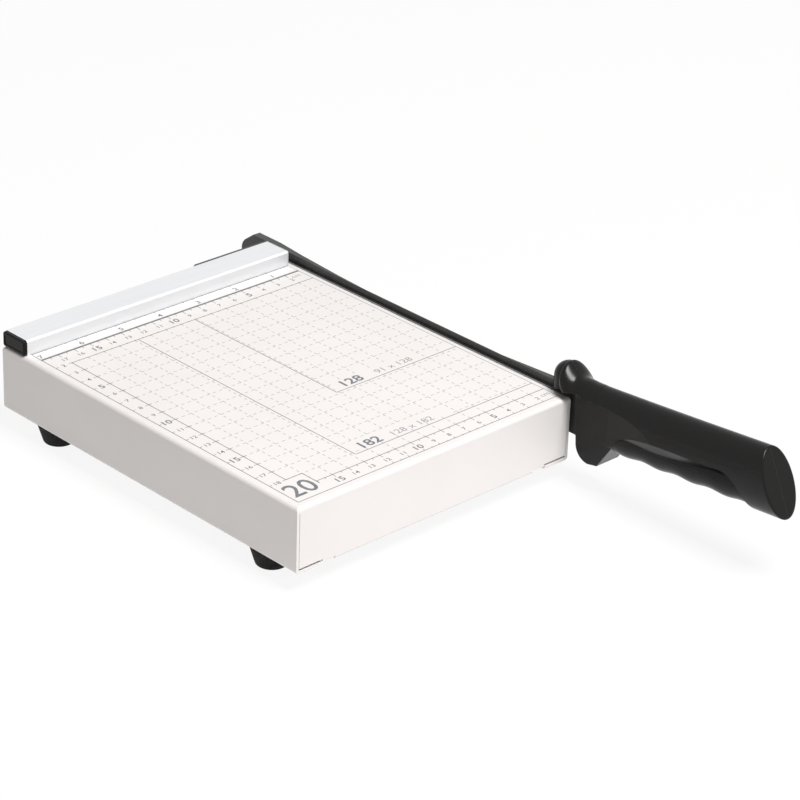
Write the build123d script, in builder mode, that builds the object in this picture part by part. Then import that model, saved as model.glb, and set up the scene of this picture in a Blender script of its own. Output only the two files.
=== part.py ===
from build123d import *
import os
from math import atan, cos, sin, pi

os.makedirs("parts", exist_ok=True)

# Business card cutter: a folded steel table with a fence, a fixed blade on its right edge and a
# hinged blade arm with a moulded handle. All sizes in millimetres, X right, Y to the rear, Z up.

# ---- table -------------------------------------------------------------------------------------
table_width = 179.0
table_depth = 222.0
shell_height = 34.5
foot_height = 10.5
sheet = 1.5
outer_bend = 2.0
side_flange = 24.0
end_flange = 12.0
flange_end = 16.0
flange_clip = 7.0
flange_gap = 0.5
end_bend = 1.4
corner_seam = 0.3
flange_slit = 1.2

# ---- feet --------------------------------------------------------------------------------------
foot_top_radius = 11.0
foot_bottom_radius = 7.8
foot_edge = 1.8
foot_side_inset = 11.5
foot_end_inset = 30.0
foot_recess_radius = 3.6
foot_recess_depth = 5.0

# ---- fence -------------------------------------------------------------------------------------
fence_depth = 16.8
fence_bracket_gap = 0.2
fence_height = 8.3
fence_edge = 0.8
fence_wall = 2.0
fence_floor = 2.6
fence_roof = 1.6
fence_left_inset = 2.6
fence_right_inset = 4.4
left_cap_thickness = 2.3
left_cap_front = 0.15
left_cap_back = 0.35
left_cap_lift = 0.2
left_cap_margin = 1.5
left_cap_recess = 0.3
right_cap_thickness = 0.7
cap_spigot = 6.0
cap_fit = 0.1

# ---- blades ------------------------------------------------------------------------------------
fixed_blade_thickness = 2.0
fixed_blade_height = 24.0
fixed_blade_end_inset = 2.0
blade_gap = 0.3
arm_thickness = 4.5
heel_reach = 27.8
heel_corner = 18.3
arm_top_rear = 4.2
heel_bottom = 15.7
pivot_behind = 16.5
pivot_below = 9.0
arm_sag = 3.0
arm_top_front = 3.7
blade_drop_front = 21.0
edge_flat = 0.4
edge_bevel = 5.0
spine_bevel = 4.0

# ---- pivot hardware ----------------------------------------------------------------------------
pivot_diameter = 6.0
pivot_running = 0.05
side_play = 0.3
spacer_thickness = 0.6
spacer_radius = 4.6
bolt_head_height = 4.0
bolt_head_flats = 9.0
washer_thickness = 0.8
washer_radius = 5.4
disc_thickness = 0.6
disc_cone = 0.6
disc_radius = 5.0
nut_thickness = 3.2
nut_flats = 9.0
bolt_proud = 0.6

# ---- bracket -----------------------------------------------------------------------------------
bracket_sheet = 2.5
bracket_above = 7.6
bracket_below = 28.0
bracket_left_reach = 61.0
bracket_bend = 4.0
ear_radius = 5.2
stop_gap = 0.3
stop_width = 6.5

# ---- screws ------------------------------------------------------------------------------------
screw_radius = 1.5
screw_head_radius = 2.9
screw_head_height = 1.9
small_nut_flats = 5.5
small_nut_thickness = 2.4
fence_screw_inset = 21.0
blade_screw_below = 11.0
bracket_screw_inset = 10.0
bracket_screw_pitch = 18.0
bracket_screw_below = 17.0

# ---- handle ------------------------------------------------------------------------------------
front_reach = 137.6
handle_rise = 0.0815
handle_start_front = 7.5
handle_start_below = 6.1
handle_half_width = 10.3
handle_top = 16.2
handle_top_end = 17.2
handle_bottom = 16.9
cheek_half_width = 7.6
knuckle_radius = 7.0
knuckle_half_width = 7.4
knuckle_behind = 12.8
knuckle_drop = 16.0
hump_rise = 6.7
flank_length = 32.0
guard_rear = -1.1
guard_front = 12.6
guard_drop = 24.0
grip_half_width = 8.0
grip_top = 0.3
grip_bottom = 15.3
grip_wave = 0.5
grip_pitch = 21.2
grip_crest = 30.0
recess_half_width = 6.4
recess_margin = 15.15
recess_curve = 24.0
end_slope = 0.37
end_round = 1.0
tang_half_height = 5.5
tang_length = 88.0
tang_fit = 0.05
handle_screw_seat = 4.4
handle_screw_depth = 6.0

# ---- derived positions -------------------------------------------------------------------------
right_reach = fixed_blade_thickness + blade_gap + arm_thickness / 2 + handle_half_width
rear_reach = heel_reach
right_x = (table_width - right_reach) / 2
left_x = right_x - table_width
rear_y = (table_depth + rear_reach + front_reach) / 2 - rear_reach
front_y = rear_y - table_depth
bottom_z = foot_height
top_z = bottom_z + shell_height
middle_x = (left_x + right_x) / 2
middle_y = (front_y + rear_y) / 2
fence_y = rear_y - fence_depth - fence_bracket_gap
arm_inner_x = right_x + fixed_blade_thickness + blade_gap
arm_outer_x = arm_inner_x + arm_thickness
arm_x = (arm_inner_x + arm_outer_x) / 2
pivot_y = rear_y + pivot_behind
pivot_z = top_z - pivot_below
ear_outer_x = arm_inner_x - side_play - spacer_thickness
ear_inner_x = ear_outer_x - bracket_sheet
handle_y = front_y - handle_start_front
handle_z = top_z - handle_start_below
rise = atan(handle_rise)
end_foot = (front_reach - handle_start_front - handle_bottom * sin(rise)) / cos(rise)
recess_front = end_foot - recess_margin


def on_handle(a, h):
    return (handle_y - a * cos(rise) + h * sin(rise), handle_z + a * sin(rise) + h * cos(rise))


def handle_section(a):
    y, z = on_handle(a, 0)
    return Plane(origin=(arm_x, y, z), x_dir=(1, 0, 0), z_dir=(0, -cos(rise), sin(rise)))


handle_side = Plane(
    origin=(arm_x, handle_y, handle_z), x_dir=(0, -cos(rise), sin(rise)), z_dir=(-1, 0, 0)
)


def upright(x):
    return Plane(origin=(x, 0, 0), x_dir=(0, 1, 0), z_dir=(1, 0, 0))


def arm_top(forward):
    ends = [(0.0, arm_top_rear), (0.16, 3.6), (0.36, arm_sag), (0.76, arm_sag)]
    ends.append((1.0, arm_top_front))
    share = forward / (pivot_y - handle_y)
    for (s0, z0), (s1, z1) in zip(ends, ends[1:]):
        if share <= s1:
            return top_z + z0 + (z1 - z0) * (share - s0) / (s1 - s0)
    return top_z + arm_top_front


# ---- table shell -------------------------------------------------------------------------------
with BuildPart() as hollow:
    with BuildSketch(Plane.XY.offset(bottom_z + sheet)):
        with Locations((middle_x, middle_y)):
            Rectangle(table_width - 2 * sheet, table_depth - 2 * sheet)
    extrude(amount=shell_height - 2 * sheet)
    fillet(hollow.faces().sort_by(Axis.Z)[-1].edges(), outer_bend - sheet)
    fillet(hollow.faces().sort_by(Axis.Z)[0].edges().filter_by(Axis.Y), outer_bend - sheet)

fence_screw_xs = [left_x + fence_screw_inset, middle_x, right_x - fence_screw_inset]
fence_screw_y = fence_y + fence_depth / 2
blade_screw_ys = [
    front_y + table_depth * share for share in (0.05, 0.27, 0.5, 0.73, 0.93)
]
blade_screw_z = top_z - blade_screw_below
bracket_screw_xs = [
    right_x - bracket_screw_inset - bracket_screw_pitch * step for step in (2, 1, 0)
]
bracket_screw_z = top_z - bracket_screw_below
foot_centres = []
for x in (left_x + foot_side_inset, right_x - foot_side_inset):
    for y in (front_y + foot_end_inset, rear_y - foot_end_inset):
        foot_centres.append((x, y))

with BuildPart() as table_shell:
    with BuildSketch(Plane.XY.offset(bottom_z)):
        with Locations((middle_x, middle_y)):
            Rectangle(table_width, table_depth)
    extrude(amount=shell_height)
    fillet(table_shell.faces().sort_by(Axis.Z)[-1].edges(), outer_bend)
    fillet(table_shell.faces().sort_by(Axis.Z)[0].edges().filter_by(Axis.Y), outer_bend)
    add(hollow.part, mode=Mode.SUBTRACT)
    with BuildSketch(Plane.XY.offset(bottom_z)):
        with Locations((middle_x, middle_y)):
            Rectangle(table_width - 2 * side_flange, table_depth - 2 * end_flange)
    extrude(amount=sheet, mode=Mode.SUBTRACT)
    # slit above each end of the side flanges, seam at each upright corner, clipped flange corner
    for x, inward in ((left_x, 1), (right_x, -1)):
        for y, back in ((front_y, 1), (rear_y, -1)):
            slit_end = flange_end + flange_gap
            with BuildSketch(Plane.XY.offset(bottom_z + sheet)):
                with Locations((x + inward * (sheet + slit_end) / 2, y + back * sheet / 2)):
                    Rectangle(slit_end - sheet, sheet + 0.02)
            extrude(amount=flange_slit, mode=Mode.SUBTRACT)
            with BuildSketch(Plane.XY.offset(bottom_z + sheet)):
                with Locations((x + inward * (sheet + corner_seam / 2), y + back * sheet / 2)):
                    Rectangle(corner_seam, sheet + 0.02)
            extrude(amount=shell_height - sheet - outer_bend - 1.0, mode=Mode.SUBTRACT)
            with BuildSketch(Plane.XY.offset(bottom_z)):
                with BuildLine():
                    Polyline(
                        (x + inward * flange_end, y - back),
                        (x + inward * flange_end, y + back * sheet),
                        (x + inward * side_flange, y + back * (sheet + flange_clip)),
                        (x + inward * side_flange, y + back * end_flange),
                        (x + inward * (side_flange + flange_gap), y + back * end_flange),
                        (x + inward * (side_flange + flange_gap), y - back),
                        close=True,
                    )
                make_face()
            extrude(amount=sheet, mode=Mode.SUBTRACT)
    end_edges = table_shell.edges().filter_by(Axis.X).group_by(Axis.Z)[0]
    end_edges = end_edges.filter_by(lambda edge: edge.length > table_width / 2).sort_by(Axis.Y)
    fillet([end_edges[0], end_edges[-1]], end_bend)
    with BuildSketch(Plane.XY.offset(top_z - sheet)):
        with Locations(*[(x, fence_screw_y) for x in fence_screw_xs]):
            Circle(screw_radius + 0.1)
    extrude(amount=sheet, mode=Mode.SUBTRACT)
    with BuildSketch(Plane.XY.offset(bottom_z)):
        with Locations(*foot_centres):
            Circle(screw_radius)
    extrude(amount=sheet, mode=Mode.SUBTRACT)
    with BuildSketch(upright(right_x - sheet)):
        with Locations(*[(y, blade_screw_z) for y in blade_screw_ys]):
            Circle(screw_radius + 0.1)
    extrude(amount=sheet, mode=Mode.SUBTRACT)
    with BuildSketch(Plane.XZ.offset(-rear_y)):
        with Locations(*[(x, bracket_screw_z) for x in bracket_screw_xs]):
            Circle(screw_radius + 0.1)
    extrude(amount=sheet, mode=Mode.SUBTRACT)
table_shell.part.label = "table_shell"
export_step(table_shell.part, "parts/table_shell.step")

# ---- feet --------------------------------------------------------------------------------------
foot_names = ["foot_front_left", "foot_rear_left", "foot_front_right", "foot_rear_right"]
for name, (x, y) in zip(foot_names, foot_centres):
    with BuildPart() as foot:
        with Locations((x, y, 0)):
            Cone(
                foot_bottom_radius, foot_top_radius, foot_height,
                align=(Align.CENTER, Align.CENTER, Align.MIN),
            )
        fillet(foot.faces().sort_by(Axis.Z)[0].edges(), foot_edge)
        with BuildSketch(Plane.XY):
            with Locations((x, y)):
                Circle(foot_recess_radius)
        extrude(amount=foot_recess_depth, mode=Mode.SUBTRACT)
        with BuildSketch(Plane.XY):
            with Locations((x, y)):
                Circle(screw_radius + 0.1)
        extrude(amount=foot_height, mode=Mode.SUBTRACT)
    foot.part.label = name
    export_step(foot.part, "parts/" + name + ".step")

with BuildPart() as foot_screws:
    for x, y in foot_centres:
        with BuildSketch(Plane.XY.offset(foot_recess_depth - screw_head_height)):
            with Locations((x, y)):
                Circle(screw_head_radius)
        extrude(amount=screw_head_height)
        with BuildSketch(Plane.XY.offset(foot_recess_depth)):
            with Locations((x, y)):
                Circle(screw_radius)
        extrude(amount=foot_height - foot_recess_depth + sheet + 3.0)
foot_screws.part.label = "foot_screws"
export_step(foot_screws.part, "parts/foot_screws.step")

# ---- fence -------------------------------------------------------------------------------------
fence_left_x = left_x + fence_left_inset
fence_right_x = right_x - fence_right_inset
fence_length = fence_right_x - fence_left_x
channel_width = fence_depth - 2 * fence_wall
channel_height = fence_height - fence_floor - fence_roof

with BuildPart() as fence:
    with BuildSketch(upright(fence_left_x)):
        with BuildLine():
            Polyline(
                (fence_y, top_z),
                (fence_y, top_z + fence_height - fence_edge),
                (fence_y + fence_edge, top_z + fence_height),
                (fence_y + fence_depth, top_z + fence_height),
                (fence_y + fence_depth, top_z),
                close=True,
            )
        make_face()
        with Locations((fence_y + fence_depth / 2, top_z + fence_floor + channel_height / 2)):
            RectangleRounded(channel_width, channel_height, 0.6, mode=Mode.SUBTRACT)
    extrude(amount=fence_length)
    with BuildSketch(Plane.XY.offset(top_z)):
        with Locations(*[(x, fence_screw_y) for x in fence_screw_xs]):
            Circle(screw_radius)
    extrude(amount=fence_floor, mode=Mode.SUBTRACT)
fence.part.label = "fence"
export_step(fence.part, "parts/fence.step")

left_cap_depth = left_cap_front + fence_depth + left_cap_back
left_cap_height = fence_height - left_cap_lift
left_cap_y = fence_y - left_cap_front + left_cap_depth / 2
left_cap_z = top_z + left_cap_lift + left_cap_height / 2

with BuildPart() as fence_cap_left:
    with BuildSketch(upright(fence_left_x - left_cap_thickness)):
        with Locations((left_cap_y, left_cap_z)):
            RectangleRounded(left_cap_depth, left_cap_height, 1.4)
    extrude(amount=left_cap_thickness)
    fillet(fence_cap_left.faces().sort_by(Axis.X)[0].edges(), 0.9)
    with BuildSketch(upright(fence_left_x - left_cap_thickness)):
        with Locations((left_cap_y, left_cap_z)):
            RectangleRounded(
                left_cap_depth - 2 * left_cap_margin, left_cap_height - 2 * left_cap_margin, 0.8
            )
    extrude(amount=left_cap_recess, mode=Mode.SUBTRACT)
    with BuildSketch(upright(fence_left_x)):
        with Locations((fence_y + fence_depth / 2, top_z + fence_floor + channel_height / 2)):
            RectangleRounded(channel_width - 2 * cap_fit, channel_height - 2 * cap_fit, 0.5)
    extrude(amount=cap_spigot)
fence_cap_left.part.label = "fence_cap_left"
export_step(fence_cap_left.part, "parts/fence_cap_left.step")

with BuildPart() as fence_cap_right:
    with BuildSketch(upright(fence_right_x)):
        with BuildLine():
            Polyline(
                (fence_y, top_z),
                (fence_y, top_z + fence_height - fence_edge),
                (fence_y + fence_edge, top_z + fence_height),
                (fence_y + fence_depth, top_z + fence_height),
                (fence_y + fence_depth, top_z),
                close=True,
            )
        make_face()
    extrude(amount=right_cap_thickness)
    with BuildSketch(upright(fence_right_x - cap_spigot)):
        with Locations((fence_y + fence_depth / 2, top_z + fence_floor + channel_height / 2)):
            RectangleRounded(channel_width - 2 * cap_fit, channel_height - 2 * cap_fit, 0.5)
    extrude(amount=cap_spigot)
fence_cap_right.part.label = "fence_cap_right"
export_step(fence_cap_right.part, "parts/fence_cap_right.step")

with BuildPart() as fence_screws:
    for x in fence_screw_xs:
        with BuildSketch(Plane.XY.offset(top_z - sheet - screw_head_height)):
            with Locations((x, fence_screw_y)):
                Circle(screw_head_radius)
        extrude(amount=screw_head_height)
        with BuildSketch(Plane.XY.offset(top_z - sheet)):
            with Locations((x, fence_screw_y)):
                Circle(screw_radius)
        extrude(amount=sheet + fence_floor + 1.5)
fence_screws.part.label = "fence_screws"
export_step(fence_screws.part, "parts/fence_screws.step")

# ---- fixed blade with its countersunk screws and nuts ------------------------------------------
fixed_blade_length = table_depth - 2 * fixed_blade_end_inset
countersink_depth = screw_head_radius - screw_radius


def countersunk(x, y, z, grow):
    cone = Cone(screw_radius + grow, screw_head_radius + grow, countersink_depth, mode=Mode.PRIVATE)
    cone = Location((x - countersink_depth / 2, y, z), (0, 90, 0)) * cone
    return cone


with BuildPart() as fixed_blade:
    with BuildSketch(upright(right_x)):
        with Locations((middle_y, top_z - fixed_blade_height / 2)):
            Rectangle(fixed_blade_length, fixed_blade_height)
        with Locations(*[(y, blade_screw_z) for y in blade_screw_ys]):
            Circle(screw_radius + 0.1, mode=Mode.SUBTRACT)
    extrude(amount=fixed_blade_thickness)
    for y in blade_screw_ys:
        add(countersunk(right_x + fixed_blade_thickness, y, blade_screw_z, 0.1), mode=Mode.SUBTRACT)
fixed_blade.part.label = "fixed_blade"
export_step(fixed_blade.part, "parts/fixed_blade.step")

blade_screw_head_x = right_x + fixed_blade_thickness - 0.1
blade_screw_tip_x = right_x - sheet - small_nut_thickness - 0.6
with BuildPart() as fixed_blade_screws:
    for y in blade_screw_ys:
        add(countersunk(blade_screw_head_x, y, blade_screw_z, 0))
        with BuildSketch(upright(blade_screw_tip_x)):
            with Locations((y, blade_screw_z)):
                Circle(screw_radius)
        extrude(amount=blade_screw_head_x - countersink_depth / 2 - blade_screw_tip_x)
fixed_blade_screws.part.label = "fixed_blade_screws"
export_step(fixed_blade_screws.part, "parts/fixed_blade_screws.step")

with BuildPart() as fixed_blade_nuts:
    with BuildSketch(upright(right_x - sheet - small_nut_thickness)):
        with Locations(*[(y, blade_screw_z) for y in blade_screw_ys]):
            RegularPolygon(small_nut_flats / 2, 6, major_radius=False)
            Circle(screw_radius, mode=Mode.SUBTRACT)
    extrude(amount=small_nut_thickness)
fixed_blade_nuts.part.label = "fixed_blade_nuts"
export_step(fixed_blade_nuts.part, "parts/fixed_blade_nuts.step")

# ---- pivot bracket -----------------------------------------------------------------------------
bracket_left_x = right_x - bracket_left_reach
bracket_bottom_z = top_z - bracket_below
bracket_top_z = top_z + bracket_above
ear_back_y = pivot_y + ear_radius
stop_front_y = rear_y + bracket_sheet + 1.2
stop_top_z = top_z - heel_bottom - (blade_drop_front - heel_bottom) * 0.06 - stop_gap

with BuildPart() as pivot_bracket:
    # bent plate seen from above: flange on the rear wall, ear pointing to the rear
    with BuildSketch(Plane.XY.offset(bracket_bottom_z)):
        with BuildLine():
            Polyline(
                (bracket_left_x, rear_y),
                (ear_outer_x, rear_y),
                (ear_outer_x, ear_back_y),
                (ear_inner_x, ear_back_y),
                (ear_inner_x, rear_y + bracket_sheet),
                (bracket_left_x, rear_y + bracket_sheet),
                close=True,
            )
        bent = make_face()
        corners = bent.vertices().sort_by_distance((ear_outer_x, rear_y, bracket_bottom_z))
        fillet(corners[0], bracket_bend)
    extrude(amount=bracket_below + bracket_above)
    fillet(
        pivot_bracket.edges().filter_by(Axis.Z).sort_by_distance(
            (ear_inner_x, rear_y + bracket_sheet, top_z)
        )[0],
        bracket_bend - bracket_sheet,
    )
    # ear outline: sloping top edge, round end about the pivot, sloping lower edge
    with BuildSketch(upright(ear_inner_x - 12.0)) as ear_waste:
        with BuildLine():
            Polyline(
                (rear_y + bracket_sheet, bracket_top_z + 1),
                (rear_y + bracket_sheet, bracket_top_z),
                (pivot_y + ear_radius * 0.57, pivot_z + ear_radius * 0.82),
                (pivot_y + ear_radius * 0.92, pivot_z + ear_radius * 0.38),
                (ear_back_y, pivot_z - 1.5),
                (pivot_y + ear_radius * 0.6, pivot_z - ear_radius * 0.9),
                (rear_y + bracket_sheet + 10.0, bracket_bottom_z + 8.0),
                (rear_y + bracket_sheet + 5.0, bracket_bottom_z),
                (rear_y + bracket_sheet, bracket_bottom_z - 1),
                (ear_back_y + 5, bracket_bottom_z - 1),
                (ear_back_y + 5, bracket_top_z + 1),
                close=True,
            )
        make_face()
    extrude(amount=bracket_sheet + 24.0, mode=Mode.SUBTRACT)
    # closing stop: a tab bent out under the arm
    with BuildSketch(upright(ear_outer_x - 1.0)):
        with Locations((stop_front_y + stop_width / 2, stop_top_z - bracket_sheet / 2)):
            RectangleRounded(stop_width, bracket_sheet, 0.5)
    extrude(amount=arm_outer_x - ear_outer_x + 1.0)
    # sloping left end of the flange
    with BuildSketch(Plane.XZ.offset(-rear_y - bracket_sheet)):
        with BuildLine():
            Polyline(
                (bracket_left_x, bracket_top_z),
                (bracket_left_x + 9.0, bracket_top_z),
                (bracket_left_x, bracket_top_z - 9.0),
                close=True,
            )
        make_face()
        with BuildLine():
            Polyline(
                (bracket_left_x, bracket_bottom_z),
                (bracket_left_x + 6.0, bracket_bottom_z),
                (bracket_left_x, bracket_bottom_z + 6.0),
                close=True,
            )
        make_face()
    extrude(amount=bracket_sheet, mode=Mode.SUBTRACT)
    with BuildSketch(Plane.XZ.offset(-rear_y - bracket_sheet)):
        with Locations(*[(x, bracket_screw_z) for x in bracket_screw_xs]):
            Circle(screw_radius + 0.1)
    extrude(amount=bracket_sheet, mode=Mode.SUBTRACT)
    with BuildSketch(upright(ear_inner_x)):
        with Locations((pivot_y, pivot_z)):
            Circle(pivot_diameter / 2)
    extrude(amount=bracket_sheet, mode=Mode.SUBTRACT)
pivot_bracket.part.label = "pivot_bracket"
export_step(pivot_bracket.part, "parts/pivot_bracket.step")

with BuildPart() as bracket_screws:
    for x in bracket_screw_xs:
        with BuildSketch(Plane.XZ.offset(-rear_y - bracket_sheet - screw_head_height)):
            with Locations((x, bracket_screw_z)):
                Circle(screw_head_radius)
        extrude(amount=screw_head_height)
        with BuildSketch(Plane.XZ.offset(-rear_y - bracket_sheet)):
            with Locations((x, bracket_screw_z)):
                Circle(screw_radius)
        extrude(amount=bracket_sheet + sheet + small_nut_thickness + 0.6)
bracket_screws.part.label = "bracket_screws"
export_step(bracket_screws.part, "parts/bracket_screws.step")

with BuildPart() as bracket_nuts:
    with BuildSketch(Plane.XZ.offset(-rear_y + sheet)):
        with Locations(*[(x, bracket_screw_z) for x in bracket_screw_xs]):
            RegularPolygon(small_nut_flats / 2, 6, major_radius=False)
            Circle(screw_radius, mode=Mode.SUBTRACT)
    extrude(amount=small_nut_thickness)
bracket_nuts.part.label = "bracket_nuts"
export_step(bracket_nuts.part, "parts/bracket_nuts.step")

# ---- pivot bolt, spacer, washers, spring and nut -----------------------------------------------
washer_x = arm_outer_x + side_play
discs_x = washer_x + washer_thickness
nut_x = discs_x + 2 * (disc_thickness + disc_cone)
bolt_end_x = nut_x + nut_thickness + bolt_proud

with BuildPart() as pivot_bolt:
    with BuildSketch(upright(ear_inner_x - bolt_head_height)):
        with Locations((pivot_y, pivot_z)):
            RegularPolygon(bolt_head_flats / 2, 6, major_radius=False)
    extrude(amount=bolt_head_height)
    with BuildSketch(upright(ear_inner_x)):
        with Locations((pivot_y, pivot_z)):
            Circle(pivot_diameter / 2)
    extrude(amount=bolt_end_x - ear_inner_x)
    chamfer(pivot_bolt.faces().sort_by(Axis.X)[-1].edges(), 0.5)
pivot_bolt.part.label = "pivot_bolt"
export_step(pivot_bolt.part, "parts/pivot_bolt.step")

with BuildPart() as pivot_spacer:
    with BuildSketch(upright(ear_outer_x)):
        with Locations((pivot_y, pivot_z)):
            Circle(spacer_radius)
            Circle(pivot_diameter / 2, mode=Mode.SUBTRACT)
    extrude(amount=spacer_thickness)
pivot_spacer.part.label = "pivot_spacer"
export_step(pivot_spacer.part, "parts/pivot_spacer.step")

with BuildPart() as pivot_washer:
    with BuildSketch(upright(washer_x)):
        with Locations((pivot_y, pivot_z)):
            Circle(washer_radius)
            Circle(pivot_diameter / 2, mode=Mode.SUBTRACT)
    extrude(amount=washer_thickness)
pivot_washer.part.label = "pivot_washer"
export_step(pivot_washer.part, "parts/pivot_washer.step")

# two opposed conical disc springs that press the arm towards the fixed blade
with BuildPart() as disc_springs:
    for x, lean in ((discs_x, 1), (nut_x, -1)):
        with BuildSketch(Plane(origin=(x, pivot_y, pivot_z), x_dir=(1, 0, 0), z_dir=(0, 0, 1))):
            with BuildLine():
                Polyline(
                    (0, pivot_diameter / 2),
                    (lean * disc_thickness, pivot_diameter / 2),
                    (lean * (disc_thickness + disc_cone), disc_radius),
                    (lean * disc_cone, disc_radius),
                    close=True,
                )
            make_face()
        revolve(axis=Axis((x, pivot_y, pivot_z), (1, 0, 0)))
disc_springs.part.label = "disc_springs"
export_step(disc_springs.part, "parts/disc_springs.step")

with BuildPart() as pivot_nut:
    with BuildSketch(upright(nut_x)):
        with Locations((pivot_y, pivot_z)):
            RegularPolygon(nut_flats / 2, 6, major_radius=False)
            Circle(pivot_diameter / 2, mode=Mode.SUBTRACT)
    extrude(amount=nut_thickness)
pivot_nut.part.label = "pivot_nut"
export_step(pivot_nut.part, "parts/pivot_nut.step")

# ---- blade arm ---------------------------------------------------------------------------------
blade_end_y = handle_y - 3.5
heel_bottom_z = top_z - heel_bottom
blade_end_z = top_z - blade_drop_front
heel_y = rear_y + heel_reach
heel_corner_y = rear_y + heel_corner
handle_screw_spots = [(10.5, -15.0), (20.0, 0.5), (74.0, 3.2), (recess_front - 11.0, 5.0)]
neck_y, neck_z = on_handle(14.0, tang_half_height)
tip_y, tip_z = on_handle(tang_length, tang_half_height)
low_tip_y, low_tip_z = on_handle(tang_length, -tang_half_height)
root_y, root_z = on_handle(8.0, -tang_half_height)
arm_reach = pivot_y - handle_y

with BuildSketch(upright(arm_inner_x)) as arm_outline:
    with BuildLine():
        Spline(
            (heel_corner_y, top_z + arm_top_rear),
            (pivot_y - 0.16 * arm_reach, arm_top(0.16 * arm_reach)),
            (pivot_y - 0.36 * arm_reach, arm_top(0.36 * arm_reach)),
            (pivot_y - 0.76 * arm_reach, arm_top(0.76 * arm_reach)),
            (handle_y, top_z + arm_top_front),
            tangents=((-1, 0), (-1, 0.02)),
        )
        Polyline(
            (handle_y, top_z + arm_top_front),
            (neck_y, neck_z),
            (tip_y, tip_z),
            (low_tip_y, low_tip_z),
            (root_y, root_z),
            (blade_end_y, root_z - 1.0),
            (blade_end_y, blade_end_z),
            (pivot_y, heel_bottom_z),
        )
        Polyline(
            (heel_corner_y, top_z + arm_top_rear),
            (heel_y - 2.8, top_z + arm_top_rear - 4.9),
        )
        ThreePointArc(
            (heel_y - 2.8, top_z + arm_top_rear - 4.9),
            (heel_y - 0.9, top_z - 3.0),
            (heel_y, top_z - 6.0),
        )
        ThreePointArc(
            (heel_y, top_z - 6.0),
            (heel_y - 3.2, top_z - 12.9),
            (pivot_y, heel_bottom_z),
        )
    make_face()


def edge_at(y):
    share = (pivot_y - y) / (pivot_y - blade_end_y)
    return heel_bottom_z + (blade_end_z - heel_bottom_z) * share


with BuildPart() as spine_waste:
    for forward, width in (
        (10.0, -0.6), (34.5, 1.5), (66.0, 3.3), (86.0, spine_bevel), (188.0, spine_bevel),
        (222.0, 1.4), (240.0, -0.4),
    ):
        y = pivot_y - forward
        z = arm_top(forward)
        with BuildSketch(Plane(origin=(0, y, 0), x_dir=(1, 0, 0), z_dir=(0, -1, 0))):
            with BuildLine():
                Polyline(
                    (arm_outer_x - width - 2.0, z + 2.0),
                    (arm_outer_x + 1.0, z - width - 1.0),
                    (arm_outer_x + 1.0, z + 2.0),
                    close=True,
                )
            make_face()
    loft(ruled=True)

with BuildPart() as edge_waste:
    for y in (pivot_y - 24.0, blade_end_y - 1.0):
        z = edge_at(y)
        slope = (arm_thickness - edge_flat) / edge_bevel
        with BuildSketch(Plane(origin=(0, y, 0), x_dir=(1, 0, 0), z_dir=(0, -1, 0))):
            with BuildLine():
                Polyline(
                    (arm_inner_x + edge_flat - slope, z - 1.0),
                    (arm_outer_x + slope, z + edge_bevel + 1.0),
                    (arm_outer_x + slope, z - 1.0),
                    close=True,
                )
            make_face()
    loft(ruled=True)

with BuildPart() as blade_arm:
    extrude(arm_outline.sketch, amount=arm_thickness)
    with BuildSketch(upright(arm_inner_x)):
        with Locations((pivot_y, pivot_z)):
            Circle(pivot_diameter / 2 + pivot_running)
        with Locations(*[on_handle(a, h) for a, h in handle_screw_spots[1:3]]):
            Circle(screw_radius + 0.1)
    extrude(amount=arm_thickness, mode=Mode.SUBTRACT)
    add(spine_waste.part, mode=Mode.SUBTRACT)
    add(edge_waste.part, mode=Mode.SUBTRACT)
blade_arm.part.label = "blade_arm"
export_step(blade_arm.part, "parts/blade_arm.step")

# ---- handle ------------------------------------------------------------------------------------
hood_start = -12.0
hood_end = 12.0
# crown height, centre height and half width of the hood, from the knuckle to the barrel
hood_sections = [
    (handle_top + hump_rise, 15.5, handle_half_width - 2.7),
    (handle_top + 4.95, 12.6, handle_half_width - 0.15),
    (handle_top + 1.6, 8.6, handle_half_width - 0.45),
    (handle_top + 0.9, 4.0, handle_half_width - 1.2),
    (handle_top + 0.65, 1.5, handle_half_width - 1.2),
    (handle_top + 0.4, 0.6, handle_half_width - 1.0),
    (handle_top + 0.2, (handle_top + 0.2 - handle_bottom) / 2, handle_half_width - 0.9),
]
# share of the rise of the crown and loss of half width of the barrel, from the hood to the end
barrel_sections = [(0.2, 0.9), (0.08, 0.15), (0.25, 0.0), (0.6, 0.0), (1.0, 0.0)]

with BuildPart() as grip_core:
    steps = 21
    core_start = 14.0
    core_end = end_foot - 12.0
    for i in range(steps):
        a = core_start + (core_end - core_start) * i / (steps - 1)
        low = grip_bottom + grip_wave * cos(2 * pi * (a - grip_crest) / grip_pitch)
        with BuildSketch(handle_section(a)):
            with Locations((0, (grip_top - low) / 2)):
                Ellipse(grip_half_width, (grip_top + low) / 2)
    loft()

# finger recess: outlines of the foot and of the outer edge of its sloping upper wall
curve_start = recess_front - recess_curve
recess_foot = [
    (25.2, -8.2), (27.8, -5.6), (31.5, -5.4), (46.0, -6.9), (60.0, -6.4), (curve_start, -2.2)
]
recess_edge = [
    (25.2, -8.2), (28.0, -3.2), (33.0, 0.7), (46.0, 1.8), (62.0, 1.7), (curve_start, 1.2)
]
recess_foot_end = [
    (curve_start, -2.2), (curve_start + 9.0, -3.8), (curve_start + 17.0, -10.5),
    (recess_front - 1.0, -18.0),
]
recess_edge_end = [
    (curve_start, 1.2), (curve_start + 10.0, -0.2), (curve_start + 18.5, -8.5),
    (recess_front, -18.0),
]
guard_tip = (guard_front, -guard_drop)
recess_low = -guard_drop - 6.0

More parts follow.
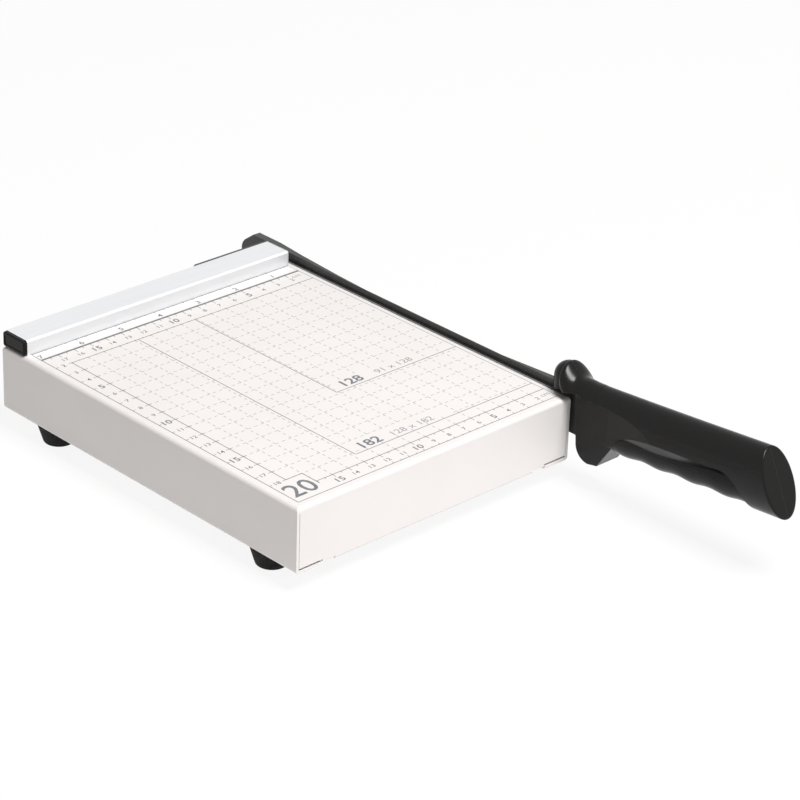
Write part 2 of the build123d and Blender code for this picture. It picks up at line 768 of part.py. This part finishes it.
with BuildPart() as recess:
    with BuildSketch(handle_side):
        with BuildLine():
            Spline(*recess_foot)
            Spline(*recess_foot_end)
            Polyline(
                recess_foot_end[-1],
                (recess_foot_end[-1][0], recess_low),
                (guard_tip[0], recess_low),
                guard_tip,
                recess_foot[0],
            )
        make_face()
    extrude(amount=recess_half_width, both=True)
    for side in (-1, 1):
        for reach, top_line, end_line in (
            (recess_half_width, recess_foot, recess_foot_end),
            (handle_half_width + 0.5, recess_edge, recess_edge_end),
        ):
            with BuildSketch(handle_side.offset(side * reach)):
                with BuildLine():
                    Spline(*top_line)
                    Spline(*end_line)
                    Polyline(
                        end_line[-1],
                        (end_line[-1][0], recess_low),
                        (guard_tip[0], recess_low),
                        guard_tip,
                        top_line[0],
                    )
                make_face()
        loft(ruled=True)
    add(grip_core.part, mode=Mode.SUBTRACT)

with BuildPart() as cheek:
    with BuildSketch(handle_side):
        with BuildLine():
            Polyline(
                (guard_rear, -15.5), (guard_rear, 10.9), (-14.0, 9.9), (-14.0, 14.0), (-10.0, 15.0),
                (-4.0, 11.5), (4.0, 10.0), (12.0, 9.0), (24.0, 8.0), (36.0, 4.0), (36.0, -4.0),
                (28.0, -6.0), (25.2, -8.2), (13.1, -23.4), (7.0, -24.1),
            )
            ThreePointArc((7.0, -24.1), (1.2, -21.4), (guard_rear, -15.5))
        make_face()
    extrude(amount=cheek_half_width, both=True)
    with BuildSketch(Plane.XY.offset(top_z - 40.0)):
        with BuildLine():
            Polyline(
                (arm_x - knuckle_half_width + 0.9, handle_y + 15.0),
                (arm_x - cheek_half_width, handle_y + 5.0),
                (arm_x - cheek_half_width, handle_y - 40.0),
                (arm_x + cheek_half_width, handle_y - 40.0),
                (arm_x + cheek_half_width, handle_y + 5.0),
                (arm_x + knuckle_half_width - 0.9, handle_y + 15.0),
                close=True,
            )
        make_face()
    extrude(amount=70.0, mode=Mode.INTERSECT)

# flat flanks beside the guard that run out along the barrel
flank_y = handle_y - guard_front - 7.4
with BuildPart() as flanks:
    for side in (-1, 1):
        with BuildSketch(Plane.XY.offset(handle_z - 40.0)):
            with BuildLine():
                Polyline(
                    (arm_x + side * cheek_half_width, handle_y + 2.0),
                    (arm_x + side * cheek_half_width, flank_y),
                    (arm_x + side * (handle_half_width + 0.1), flank_y - flank_length),
                    (arm_x + side * 2 * handle_half_width, flank_y - flank_length),
                    (arm_x + side * 2 * handle_half_width, handle_y + 2.0),
                    close=True,
                )
            make_face()
        extrude(amount=51.0)

knuckle_y, knuckle_z = on_handle(-knuckle_behind, handle_top + hump_rise - knuckle_radius)
with BuildPart() as knuckle:
    with BuildSketch(Plane(origin=(arm_x, knuckle_y, knuckle_z), x_dir=(1, 0, 0), z_dir=(0, 0, 1))):
        Ellipse(knuckle_half_width, knuckle_radius)
        with Locations((0, -knuckle_radius)):
            Rectangle(4 * knuckle_half_width, 2 * knuckle_radius, mode=Mode.SUBTRACT)
    revolve(axis=Axis((arm_x, knuckle_y, knuckle_z), (1, 0, 0)))
    with BuildSketch(Plane.XY.offset(knuckle_z)):
        with Locations((arm_x, knuckle_y)):
            Ellipse(knuckle_half_width, knuckle_radius)
    extrude(amount=-knuckle_drop)

with BuildPart() as hood:
    for i, (crown, centre, half) in enumerate(hood_sections):
        a = hood_start + (hood_end - hood_start) * i / (len(hood_sections) - 1)
        with BuildSketch(handle_section(a)):
            with Locations((0, centre)):
                Ellipse(half, crown - centre)
    loft()

# clearance over the table corner, open to the left of the arm
with BuildPart() as table_notch:
    with BuildSketch(upright(arm_inner_x - tang_fit)):
        with BuildLine():
            Polyline(
                on_handle(guard_rear, 10.9),
                on_handle(guard_rear - 12.9, 9.9),
                on_handle(guard_rear - 30.0, 9.2),
                on_handle(guard_rear - 30.0, -30.0),
                on_handle(guard_rear, -30.0),
                close=True,
            )
        make_face()
    extrude(amount=-20.0)

with BuildPart() as end_waste:
    with BuildSketch(handle_side):
        with BuildLine():
            Polyline(
                (end_foot + end_slope * 8.0, -handle_bottom - 8.0),
                (end_foot - end_slope * (handle_bottom + 24.0), 24.0),
                (end_foot + 20.0, 24.0),
                (end_foot + 20.0, -handle_bottom - 8.0),
                close=True,
            )
        make_face()
    extrude(amount=handle_half_width + 5.0, both=True)

with BuildPart() as handle_body:
    for i, (share, loss) in enumerate(barrel_sections):
        a = hood_end + (end_foot + 4.0 - hood_end) * i / (len(barrel_sections) - 1)
        high = handle_top + (handle_top_end - handle_top) * share
        with BuildSketch(handle_section(a)):
            with Locations((0, (high - handle_bottom) / 2)):
                Ellipse(handle_half_width - loss, (high + handle_bottom) / 2)
    loft()
    add(hood.part)
    add(flanks.part, mode=Mode.SUBTRACT)
    add(knuckle.part)
    add(cheek.part)
    add(recess.part, mode=Mode.SUBTRACT)
    add(end_waste.part, mode=Mode.SUBTRACT)
    fillet(handle_body.faces().sort_by(Axis.Y)[0].edges(), end_round)
    add(table_notch.part, mode=Mode.SUBTRACT)
    # pocket for the arm and its tang
    pocket = Plane(origin=(arm_inner_x - tang_fit, 0, 0), x_dir=(0, 1, 0), z_dir=(1, 0, 0))
    with BuildSketch(pocket):
        add(arm_outline.sketch_local)
    extrude(amount=arm_thickness + 2 * tang_fit, mode=Mode.SUBTRACT)
    # screw holes: pilot to the left, clearance and counterbore to the right
    with BuildSketch(upright(arm_x - handle_screw_depth)):
        with Locations(*[on_handle(a, h) for a, h in handle_screw_spots]):
            Circle(screw_radius)
    extrude(amount=handle_screw_depth + handle_screw_seat, mode=Mode.SUBTRACT)
    with BuildSketch(upright(arm_x + handle_screw_seat)):
        with Locations(*[on_handle(a, h) for a, h in handle_screw_spots]):
            Circle(screw_head_radius + 0.2)
    extrude(amount=handle_half_width, mode=Mode.SUBTRACT)

middle = Plane(origin=(arm_x, 0, 0), x_dir=(0, 1, 0), z_dir=(1, 0, 0))
with BuildPart() as handle_left_half:
    add(handle_body.part)
    split(bisect_by=middle, keep=Keep.BOTTOM)
handle_left_half.part.label = "handle_left_half"
export_step(handle_left_half.part, "parts/handle_left_half.step")

with BuildPart() as handle_right_half:
    add(handle_body.part)
    split(bisect_by=middle, keep=Keep.TOP)
handle_right_half.part.label = "handle_right_half"
export_step(handle_right_half.part, "parts/handle_right_half.step")

with BuildPart() as handle_screws:
    with BuildSketch(upright(arm_x + handle_screw_seat)):
        with Locations(*[on_handle(a, h) for a, h in handle_screw_spots]):
            Circle(screw_head_radius)
    extrude(amount=screw_head_height)
    with BuildSketch(upright(arm_x - handle_screw_depth)):
        with Locations(*[on_handle(a, h) for a, h in handle_screw_spots]):
            Circle(screw_radius)
    extrude(amount=handle_screw_depth + handle_screw_seat)
handle_screws.part.label = "handle_screws"
export_step(handle_screws.part, "parts/handle_screws.step")
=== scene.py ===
"""Looks of the business card cutter: materials, printed scales, floor, light and camera."""

from math import radians

import bmesh
import bpy
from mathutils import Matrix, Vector

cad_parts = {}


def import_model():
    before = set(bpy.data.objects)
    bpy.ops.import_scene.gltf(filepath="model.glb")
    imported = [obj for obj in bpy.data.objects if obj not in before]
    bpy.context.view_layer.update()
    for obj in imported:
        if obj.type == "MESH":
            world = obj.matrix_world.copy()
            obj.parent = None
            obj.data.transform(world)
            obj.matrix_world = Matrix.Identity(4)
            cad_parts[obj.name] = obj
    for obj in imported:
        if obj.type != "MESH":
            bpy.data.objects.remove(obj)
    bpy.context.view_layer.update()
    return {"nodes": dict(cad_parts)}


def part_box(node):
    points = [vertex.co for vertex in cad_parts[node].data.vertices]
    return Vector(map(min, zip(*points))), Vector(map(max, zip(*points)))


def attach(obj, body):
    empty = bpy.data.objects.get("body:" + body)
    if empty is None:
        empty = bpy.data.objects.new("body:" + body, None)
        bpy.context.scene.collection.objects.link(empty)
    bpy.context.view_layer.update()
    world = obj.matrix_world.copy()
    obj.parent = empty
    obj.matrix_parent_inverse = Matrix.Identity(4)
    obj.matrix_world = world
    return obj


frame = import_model()
nodes = frame["nodes"]

MM = 0.001

# ---- places taken from the frame ----------------------------------------------------------------
table_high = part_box("table_shell")[1]
fence_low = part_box("fence")[0]
seam_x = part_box("handle_left_half")[1].x        # plane where the two handle halves meet
scale_zero_x = table_high.x + 6 * MM             # the printed scales count leftwards from here
scale_zero_y = fence_low.y                       # and forwards from the fence
print_z = table_high.z


# ---- material helpers ---------------------------------------------------------------------------
def grey(level):
    """Linear value of an sRGB grey level from 0 to 255."""
    v = level / 255
    return v / 12.92 if v <= 0.04045 else ((v + 0.055) / 1.055) ** 2.4


def tint(red, green, blue):
    return (grey(red), grey(green), grey(blue), 1.0)


class Finish:
    """A Principled material with the few nodes that every finish here needs."""

    def __init__(self, name, colour, roughness, metallic=0.0, specular=0.5):
        self.material = bpy.data.materials.new(name)
        self.material.use_nodes = True
        self.tree = self.material.node_tree
        self.shader = self.tree.nodes["Principled BSDF"]
        self.shader.inputs["Base Color"].default_value = colour
        self.shader.inputs["Roughness"].default_value = roughness
        self.shader.inputs["Metallic"].default_value = metallic
        self.shader.inputs["Specular IOR Level"].default_value = specular
        self.place = self.tree.nodes.new("ShaderNodeTexCoord").outputs["Object"]
        self.normal = None

    def node(self, kind, **values):
        made = self.tree.nodes.new(kind)
        for key, value in values.items():
            if key in made.inputs:
                made.inputs[key].default_value = value
            else:
                setattr(made, key, value)
        return made

    def link(self, source, target):
        self.tree.links.new(source, target)

    def noise(self, scale, detail=3.0, stretch=(1, 1, 1)):
        """Noise in the object's own metres; a stretch under 1 draws it out along that axis."""
        mapping = self.node("ShaderNodeMapping")
        mapping.inputs["Scale"].default_value = stretch
        self.link(self.place, mapping.inputs["Vector"])
        noise = self.node("ShaderNodeTexNoise", Scale=scale, Detail=detail)
        self.link(mapping.outputs["Vector"], noise.inputs["Vector"])
        return noise.outputs["Fac"]

    def spread(self, value, low, high, start=0.3, end=0.7):
        """value, which lies around start to end, spread to low to high."""
        ramp = self.node("ShaderNodeMapRange")
        self.link(value, ramp.inputs["Value"])
        limits = {"From Min": start, "From Max": end, "To Min": low, "To Max": high}
        for key, number in limits.items():
            ramp.inputs[key].default_value = number
        return ramp.outputs["Result"]

    def colours(self, value, first, second):
        mix = self.node("ShaderNodeMix", data_type="RGBA")
        self.link(value, mix.inputs[0])
        mix.inputs[6].default_value = first
        mix.inputs[7].default_value = second
        self.link(mix.outputs[2], self.shader.inputs["Base Color"])

    def clouded(self, scale, detail, first, second):
        """Base colour that drifts between two tints."""
        self.colours(self.spread(self.noise(scale, detail), 0.0, 1.0), first, second)

    def rough(self, value):
        self.link(value, self.shader.inputs["Roughness"])

    def bump(self, height, distance, strength=1.0):
        bump = self.node("ShaderNodeBump", Strength=strength, Distance=distance)
        self.link(height, bump.inputs["Height"])
        if self.normal:
            self.link(self.normal, bump.inputs["Normal"])
        self.normal = bump.outputs["Normal"]
        self.link(self.normal, self.shader.inputs["Normal"])


def white_paint():
    """Powder coated sheet steel: warm white, fine orange peel."""
    finish = Finish("white_paint", tint(238, 234, 231), 0.5, specular=0.3)
    finish.clouded(22.0, 4.0, tint(237, 233, 230), tint(240, 236, 234))
    finish.rough(finish.spread(finish.noise(60.0), 0.46, 0.56))
    finish.bump(finish.noise(900.0, 2.0), 0.02 * MM, 0.5)
    return finish.material


def black_paint():
    """Black stoved enamel on the arm and bracket, slightly clouded."""
    finish = Finish("black_paint", tint(60, 60, 60), 0.42)
    finish.clouded(70.0, 5.0, tint(56, 56, 56), tint(65, 64, 63))
    finish.rough(finish.spread(finish.noise(180.0, 3.0), 0.36, 0.5))
    finish.bump(finish.noise(1400.0, 2.0), 0.015 * MM, 0.5)
    return finish.material


def satin_aluminium():
    """Anodised extrusion, brushed along its length."""
    finish = Finish("satin_aluminium", tint(236, 238, 241), 0.5, metallic=0.45, specular=0.2)
    lines = finish.noise(900.0, 4.0, (0.02, 1.0, 1.0))
    finish.colours(finish.spread(lines, 0.0, 1.0), tint(235, 237, 240), tint(239, 241, 243))
    finish.rough(finish.spread(lines, 0.44, 0.56))
    finish.bump(lines, 0.01 * MM, 0.5)
    return finish.material


def black_plastic():
    """Satin moulded plastic with a fine grain; the mould line runs down its middle."""
    seam_groove, seam_edge = 0.06 * MM, 0.24 * MM    # dark up to one, gone at the other
    finish = Finish("black_plastic", tint(17, 17, 16), 0.2, specular=0.24)
    finish.rough(finish.spread(finish.noise(260.0, 4.0), 0.17, 0.25))
    finish.bump(finish.noise(2200.0, 2.0), 0.012 * MM, 0.6)
    apart = finish.node("ShaderNodeSeparateXYZ")
    finish.link(finish.place, apart.inputs["Vector"])
    from_seam = finish.node("ShaderNodeMath", operation="SUBTRACT")
    from_seam.inputs[1].default_value = seam_x
    finish.link(apart.outputs["X"], from_seam.inputs[0])
    distance = finish.node("ShaderNodeMath", operation="ABSOLUTE")
    finish.link(from_seam.outputs["Value"], distance.inputs[0])
    edge = finish.spread(distance.outputs["Value"], 0.0, 1.0, seam_groove, seam_edge)
    finish.colours(edge, tint(6, 6, 6), tint(17, 17, 16))
    finish.bump(edge, 0.2 * MM, 0.8)
    return finish.material


def plain_black_plastic():
    """Satin moulded plastic of the fence's left end cap."""
    finish = Finish("cap_plastic", tint(14, 13, 14), 0.25, specular=0.16)
    finish.clouded(140.0, 4.0, tint(11, 10, 11), tint(18, 17, 18))
    finish.rough(finish.spread(finish.noise(300.0, 3.0), 0.2, 0.32))
    finish.bump(finish.noise(1800.0, 2.0), 0.015 * MM, 0.6)
    return finish.material


def light_plastic():
    """Pale grey moulded plastic of the fence's right end."""
    finish = Finish("light_plastic", tint(205, 206, 208), 0.45)
    finish.clouded(120.0, 3.0, tint(200, 201, 203), tint(210, 211, 213))
    finish.rough(finish.spread(finish.noise(300.0), 0.38, 0.52))
    finish.bump(finish.noise(1500.0, 2.0), 0.01 * MM, 0.5)
    return finish.material


def foot_rubber():
    """Dull black rubber with a coarse grain."""
    finish = Finish("foot_rubber", tint(26, 26, 26), 0.75, specular=0.25)
    finish.clouded(220.0, 5.0, tint(20, 20, 20), tint(34, 33, 32))
    finish.rough(finish.spread(finish.noise(400.0), 0.66, 0.86))
    finish.bump(finish.noise(1600.0, 4.0), 0.04 * MM, 0.7)
    return finish.material


def ground_steel():
    """Hardened blade steel, surface ground across its length."""
    finish = Finish("ground_steel", tint(150, 151, 153), 0.2, metallic=1.0)
    lines = finish.noise(1500.0, 3.0, (1.0, 1.0, 0.03))
    finish.colours(finish.spread(lines, 0.0, 1.0), tint(142, 143, 145), tint(158, 159, 161))
    finish.rough(finish.spread(lines, 0.14, 0.26))
    finish.bump(lines, 0.008 * MM, 0.6)
    return finish.material


def turned_steel(name, level, roughness):
    """Plated or blued small hardware, slightly uneven."""
    finish = Finish(name, tint(level, level, level - 2), roughness, metallic=1.0)
    dark = tint(level - 10, level - 10, level - 13)
    light = tint(level + 8, level + 8, level + 5)
    finish.clouded(380.0, 4.0, dark, light)
    finish.rough(finish.spread(finish.noise(900.0), roughness - 0.06, roughness + 0.08))
    finish.bump(finish.noise(2600.0, 2.0), 0.01 * MM, 0.5)
    return finish.material


def screen_ink(name, middle, dark, light):
    """Screen printed ink, a touch uneven in density."""
    finish = Finish(name, middle, 0.6)
    finish.clouded(500.0, 3.0, dark, light)
    finish.rough(finish.spread(finish.noise(700.0), 0.52, 0.7))
    finish.bump(finish.noise(3000.0, 2.0), 0.004 * MM, 0.5)
    return finish.material


def ink():
    return screen_ink(
        "print_ink", tint(118, 120, 126), tint(110, 112, 118), tint(128, 130, 136)
    )


def pale_ink():
    return screen_ink(
        "pale_ink", tint(158, 158, 162), tint(150, 150, 154), tint(168, 168, 172)
    )


def dress(material, *names):
    for name in names:
        node = nodes[name]
        node.data.materials.clear()
        node.data.materials.append(material)


dress(white_paint(), "table_shell")
dress(black_paint(), "blade_arm", "pivot_bracket")
dress(satin_aluminium(), "fence")
dress(black_plastic(), "handle_left_half", "handle_right_half")
dress(plain_black_plastic(), "fence_cap_left")
dress(light_plastic(), "fence_cap_right")
dress(foot_rubber(), "foot_front_left", "foot_rear_left", "foot_front_right", "foot_rear_right")
blade_steel = ground_steel()
dress(blade_steel, "fixed_blade")
dress(turned_steel("zinc_steel", 158, 0.32), "foot_screws", "fence_screws", "fixed_blade_screws",
      "fixed_blade_nuts", "bracket_screws", "bracket_nuts", "handle_screws")
dress(turned_steel("black_steel", 70, 0.42),
      "pivot_bolt", "pivot_spacer", "pivot_washer", "pivot_nut")
dress(turned_steel("spring_steel", 120, 0.3), "disc_springs")

# the arm's paint stops at the ground bevel, which faces outwards and down
bevel_least_x = 0.7                              # of its faces' normals
bevel_low_z, bevel_high_z = -0.75, -0.5
arm_mesh = nodes["blade_arm"].data
arm_mesh.materials.append(blade_steel)
for face in arm_mesh.polygons:
    if face.normal.x > bevel_least_x and bevel_low_z < face.normal.z < bevel_high_z:
        face.material_index = 1

# ---- printed scales -----------------------------------------------------------------------------
# u counts millimetres leftwards from the scale's zero, v counts them forwards from the fence
ink_height = 0.03 * MM
line, fine = 0.42, 0.32                          # widths of the printed lines
row_line, cut_line = 0.44, 0.4                   # behind the front row, along the cutting edge
fence_shadow_v, fence_shadow_width = 0.26, 0.48            # place and width of a painted shadow: a dark ink line at the fence's foot stands in for the shade under the fence
thick_line = 1.35                                # between the inches and the centimetres
dash, dash_pitch, first_dash = 2.0, 4.0, 1.0     # length, spacing and first centre of the dashes
figure_share = 0.70                              # a figure's height as a share of the font's size
frame_left, column_right, frame_right = 180.0, 170.0, 10.0
inch_row, thick_line_v, cm_row_front = 0.0, 8.3, 20.0
front_row_rear, front_row_front = 190.0, 200.0
corner_left, corner_rear = 160.0, 180.0
large_format = (128.0, 182.0)
small_format = (91.0, 128.0)
inch = 25.4


def at(u, v):
    return Vector((scale_zero_x - u * MM, scale_zero_y - v * MM, print_z))


class Print:
    """Thin slabs of ink that are gathered into one piece."""

    def __init__(self):
        self.mesh = bmesh.new()

    def bar(self, u0, v0, u1, v1, width=line):
        """A straight printed line along u or v, centred on its two ends."""
        wide_u = width / 2 if u0 == u1 else 0.0
        wide_v = width / 2 if v0 == v1 else 0.0
        low = at(max(u0, u1) + wide_u, max(v0, v1) + wide_v)
        high = at(min(u0, u1) - wide_u, min(v0, v1) - wide_v)
        made = bmesh.ops.create_cube(self.mesh, size=1.0)["verts"]
        for vert in made:
            vert.co = Vector((
                high.x if vert.co.x > 0 else low.x,
                high.y if vert.co.y > 0 else low.y,
                print_z + (ink_height if vert.co.z > 0 else 0.0),
            ))

    def dashes(self, u0, v0, u1, v1, clear_of):
        """Dashes at even steps along a line, left out inside the clear areas."""
        along_u = v0 == v1
        start, end = sorted((u0, u1) if along_u else (v0, v1))
        count = int((end - start) / dash_pitch) + 2
        middle = first_dash + dash_pitch * int((start - first_dash) / dash_pitch)
        for _ in range(count):
            low, high = middle - dash / 2, middle + dash / 2
            middle += dash_pitch
            if low < start or high > end:
                continue
            ends = (low, v0, high, v0) if along_u else (u0, low, u0, high)
            centre = ((ends[0] + ends[2]) / 2, (ends[1] + ends[3]) / 2)
            if any(a < centre[0] < b and c < centre[1] < d for a, b, c, d in clear_of):
                continue
            self.bar(*ends, width=fine)

    def number(self, text, u, v, height, weight=0.0, stretch=1.15):
        """Plain upright figures, centred on (u, v); height is the figure's height."""
        curve = bpy.data.curves.new("figure", "FONT")
        curve.body = str(text)
        curve.size = height * MM / figure_share
        curve.offset = weight * MM
        curve.align_x = "CENTER"
        curve.align_y = "CENTER"
        curve.resolution_u = 3
        curve.extrude = ink_height / 2
        carrier = bpy.data.objects.new("figure", curve)
        bpy.context.scene.collection.objects.link(carrier)
        bpy.context.view_layer.update()
        shape = bpy.data.meshes.new_from_object(
            carrier.evaluated_get(bpy.context.evaluated_depsgraph_get())
        )
        xs = [corner.co.x for corner in shape.vertices]
        ys = [corner.co.y for corner in shape.vertices]
        middle = Vector(((min(xs) + max(xs)) / 2, (min(ys) + max(ys)) / 2, 0))
        for corner in shape.vertices:
            corner.co -= middle
            corner.co.x *= stretch
            corner.co += at(u, v) + Vector((0, 0, ink_height / 2))
        self.mesh.from_mesh(shape)
        bpy.data.objects.remove(carrier)
        bpy.data.curves.remove(curve)
        bpy.data.meshes.remove(shape)

    def piece(self, name, material):
        bmesh.ops.remove_doubles(self.mesh, verts=self.mesh.verts, dist=1e-7)
        data = bpy.data.meshes.new(name)
        self.mesh.to_mesh(data)
        self.mesh.free()
        data.materials.append(material)
        piece = bpy.data.objects.new(name, data)
        bpy.context.scene.collection.objects.link(piece)
        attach(piece, "base")


def printed_lines():
    """Frame, scale lines with their ticks, and the outlines of the two paper formats."""
    p = Print()
    inch_tick, quarter_tick = 2.0, 1.1
    cm_tick, half_tick, cross_tick = 3.6, 2.1, 0.5
    column_outer_tick, column_inner_tick, column_cross = 1.7, 1.6, 2.2
    front_cm_tick, front_half_tick = 2.6, 1.3
    edge_cm_tick, edge_half_tick = 1.5, 0.8
    # frame, left column and corner box
    p.bar(frame_left, inch_row, frame_left, front_row_front)
    p.bar(frame_left, front_row_front, frame_right, front_row_front)
    p.bar(column_right, cm_row_front, column_right, corner_rear)
    p.bar(column_right, corner_rear, corner_left, corner_rear)
    p.bar(corner_left, corner_rear, corner_left, front_row_rear + 2.0)
    p.bar(corner_left, front_row_rear, frame_right, front_row_rear, row_line)
    # inch row
    for quarter in range(2, 28):
        u = inch * quarter / 4
        tick = inch_tick if quarter % 4 == 0 else quarter_tick
        p.bar(u, inch_row, u, inch_row + tick, fine)
    # painted shadow: this ink line along the fence's foot stands in for the shade under the fence
    p.bar(frame_left, fence_shadow_v, frame_right, fence_shadow_v, fence_shadow_width)
    p.bar(frame_left, thick_line_v, frame_right, thick_line_v, thick_line)
    # centimetre row behind the grid
    for half in range(4, 36):
        u = 5.0 * half
        tick = cm_tick if half % 2 == 0 else half_tick
        p.bar(u, thick_line_v, u, thick_line_v + tick, fine)
        p.bar(u, cm_row_front - cross_tick, u, cm_row_front + cross_tick, fine)
    p.bar(column_right, cm_row_front, frame_right, cm_row_front)
    # left column
    for cm in range(2, 19):
        v = 10.0 * cm
        p.bar(frame_left, v, frame_left - column_outer_tick, v, fine)
        p.bar(column_right + column_cross, v, column_right - column_inner_tick, v, fine)
    # front row
    for half in range(4, 33):
        u = 5.0 * half
        tick = front_cm_tick if half % 2 == 0 else front_half_tick
        p.bar(u, front_row_rear, u, front_row_rear + tick, fine)
        if half < 26:
            tick = edge_cm_tick if half % 2 == 0 else edge_half_tick
            p.bar(u, front_row_front, u, front_row_front - tick, fine)
    # paper formats
    for width, depth in (large_format, small_format):
        p.bar(width, cm_row_front, width, depth)
        p.bar(width, depth, frame_right, depth)
    p.piece("printed_lines", ink())


def printed_grid():
    """Dashed ten millimetre grid and the fine line along the cutting edge."""
    p = Print()
    labels = [(63.0, 124.5, 171.5, 181.0), (30.0, 88.0, 118.0, 127.0)]
    for cm in range(3, 19):
        p.dashes(column_right, 10.0 * cm, frame_right, 10.0 * cm, labels)
    for cm in range(2, 17):
        p.dashes(10.0 * cm, cm_row_front, 10.0 * cm, front_row_rear, labels)
    p.bar(frame_right, inch_row, frame_right, front_row_front, cut_line)
    p.piece("printed_grid", pale_ink())


def cm_style(cm):
    """Height and weight of a centimetre figure; every fifth is larger and bolder."""
    return (3.8, 0.08) if cm % 5 == 0 else (2.6, 0.02)


def printed_numbers():
    """Plain scale figures: inches and centimetres behind, centimetres left and in front."""
    p = Print()
    inch_v, rear_v, front_v = 4.9, 14.9, 195.6       # middles of the rows of figures
    column_u = frame_left - 4.9
    for n in range(1, 8):
        p.number(n, inch * n, inch_v, 3.2, 0.06)
    for cm in range(2, 18):
        p.number(cm, 10.0 * cm, rear_v, *cm_style(cm))
    for cm in range(2, 19):
        p.number(cm, column_u, 10.0 * cm, *cm_style(cm))
    for cm in range(2, 16):
        p.number(cm, 10.0 * cm, front_v, *cm_style(cm))
    p.number(20, (frame_left + corner_left) / 2, 190.3, 11.8, 0.12, stretch=1.0)
    format_height, format_weight = 6.0, 0.16
    p.number("182", 114.0, 176.9, format_height, format_weight)
    p.number("128", 76.5, 122.9, format_height, format_weight)
    p.piece("printed_numbers", ink())


def printed_sizes():
    """Paler figures: the two formats' sizes in millimetres, and the two centimetre marks."""
    p = Print()
    size_height, unit_height = 4.2, 3.0
    p.number("128 x 182", 87.0, 177.4, size_height)
    p.number("91 x 128", 49.0, 123.4, size_height)
    p.number("cm", 14.1, 195.2, unit_height)
    p.number("cm", 15.4, 12.9, unit_height)
    p.piece("printed_sizes", pale_ink())


printed_lines()
printed_grid()
printed_numbers()
printed_sizes()


# ---- floor, background and light ----------------------------------------------------------------
def seen_or_mirrored(tree):
    """1 for the rays that show the background itself, 0 for those that only light the object."""
    path = tree.nodes.new("ShaderNodeLightPath")
    total = path.outputs["Is Camera Ray"]
    for kind in ("Is Glossy Ray", "Is Transmission Ray"):
        either = tree.nodes.new("ShaderNodeMath")
        either.operation = "MAXIMUM"
        tree.links.new(total, either.inputs[0])
        tree.links.new(path.outputs[kind], either.inputs[1])
        total = either.outputs["Value"]
    return total


def floor_material():
    """White card that takes the shadow; camera and mirror rays see it nearly at full white."""
    glow_share = 0.9
    material = bpy.data.materials.new("floor")
    material.use_nodes = True
    tree = material.node_tree
    shader = tree.nodes["Principled BSDF"]
    shader.inputs["Base Color"].default_value = tint(249, 249, 249)
    shader.inputs["Roughness"].default_value = 0.9
    glow = tree.nodes.new("ShaderNodeEmission")
    glow.inputs["Strength"].default_value = 1.0
    share = tree.nodes.new("ShaderNodeMath")
    share.operation = "MULTIPLY"
    share.inputs[1].default_value = glow_share
    tree.links.new(seen_or_mirrored(tree), share.inputs[0])
    mix = tree.nodes.new("ShaderNodeMixShader")
    tree.links.new(share.outputs["Value"], mix.inputs["Fac"])
    tree.links.new(shader.outputs["BSDF"], mix.inputs[1])
    tree.links.new(glow.outputs["Emission"], mix.inputs[2])
    tree.links.new(mix.outputs["Shader"], tree.nodes["Material Output"].inputs["Surface"])
    return material


def floor():
    half_width, drop = 6.0, 0.02 * MM                # it lies a hair under the feet
    data = bpy.data.meshes.new("floor")
    mesh = bmesh.new()
    bmesh.ops.create_grid(mesh, x_segments=1, y_segments=1, size=half_width)
    mesh.to_mesh(data)
    mesh.free()
    data.materials.append(floor_material())
    sheet = bpy.data.objects.new("floor", data)
    sheet.location.z = -drop
    bpy.context.scene.collection.objects.link(sheet)


def world():
    """Dim warm light from all around, plain white where the background is seen or mirrored."""
    soft_colour, soft_strength = (1.0, 0.955, 0.925, 1.0), 0.17
    scene_world = bpy.data.worlds.new("studio")
    bpy.context.scene.world = scene_world
    scene_world.use_nodes = True
    tree = scene_world.node_tree
    soft = tree.nodes["Background"]
    soft.inputs["Color"].default_value = soft_colour
    soft.inputs["Strength"].default_value = soft_strength
    white = tree.nodes.new("ShaderNodeBackground")
    white.inputs["Strength"].default_value = 1.0
    mix = tree.nodes.new("ShaderNodeMixShader")
    tree.links.new(seen_or_mirrored(tree), mix.inputs["Fac"])
    tree.links.new(soft.outputs["Background"], mix.inputs[1])
    tree.links.new(white.outputs["Background"], mix.inputs[2])
    tree.links.new(mix.outputs["Shader"], tree.nodes["World Output"].inputs["Surface"])


def softbox(name, place, aim, width, height, power):
    data = bpy.data.lights.new(name, "AREA")
    data.shape = "RECTANGLE"
    data.size = width
    data.size_y = height
    data.energy = power
    lamp = bpy.data.objects.new(name, data)
    bpy.context.scene.collection.objects.link(lamp)
    lamp.location = place
    lamp.rotation_euler = (Vector(aim) - Vector(place)).to_track_quat("-Z", "Y").to_euler()


def camera():
    """The photograph's view, with a lens of about 142 mm, from the front left and above."""
    from_scale_zero = Vector((-1.02849, -1.13939, 0.68867))
    turn = (radians(63.34404), radians(-1.76847), radians(-43.22906))
    data = bpy.data.cameras.new("camera")
    data.sensor_width = 36.0
    data.lens = 141.91
    data.clip_start = 0.05
    data.clip_end = 50.0
    view = bpy.data.objects.new("camera", data)
    bpy.context.scene.collection.objects.link(view)
    view.location = at(0, 0) + from_scale_zero
    view.rotation_euler = turn
    bpy.context.scene.camera = view


floor()
world()
softbox(
    "key", place=(0.08, -0.96, 2.1), aim=(0.0, 0.0, 0.03), width=0.8, height=1.0, power=57.0
)
camera()
bpy.context.scene.view_settings.view_transform = "Standard"
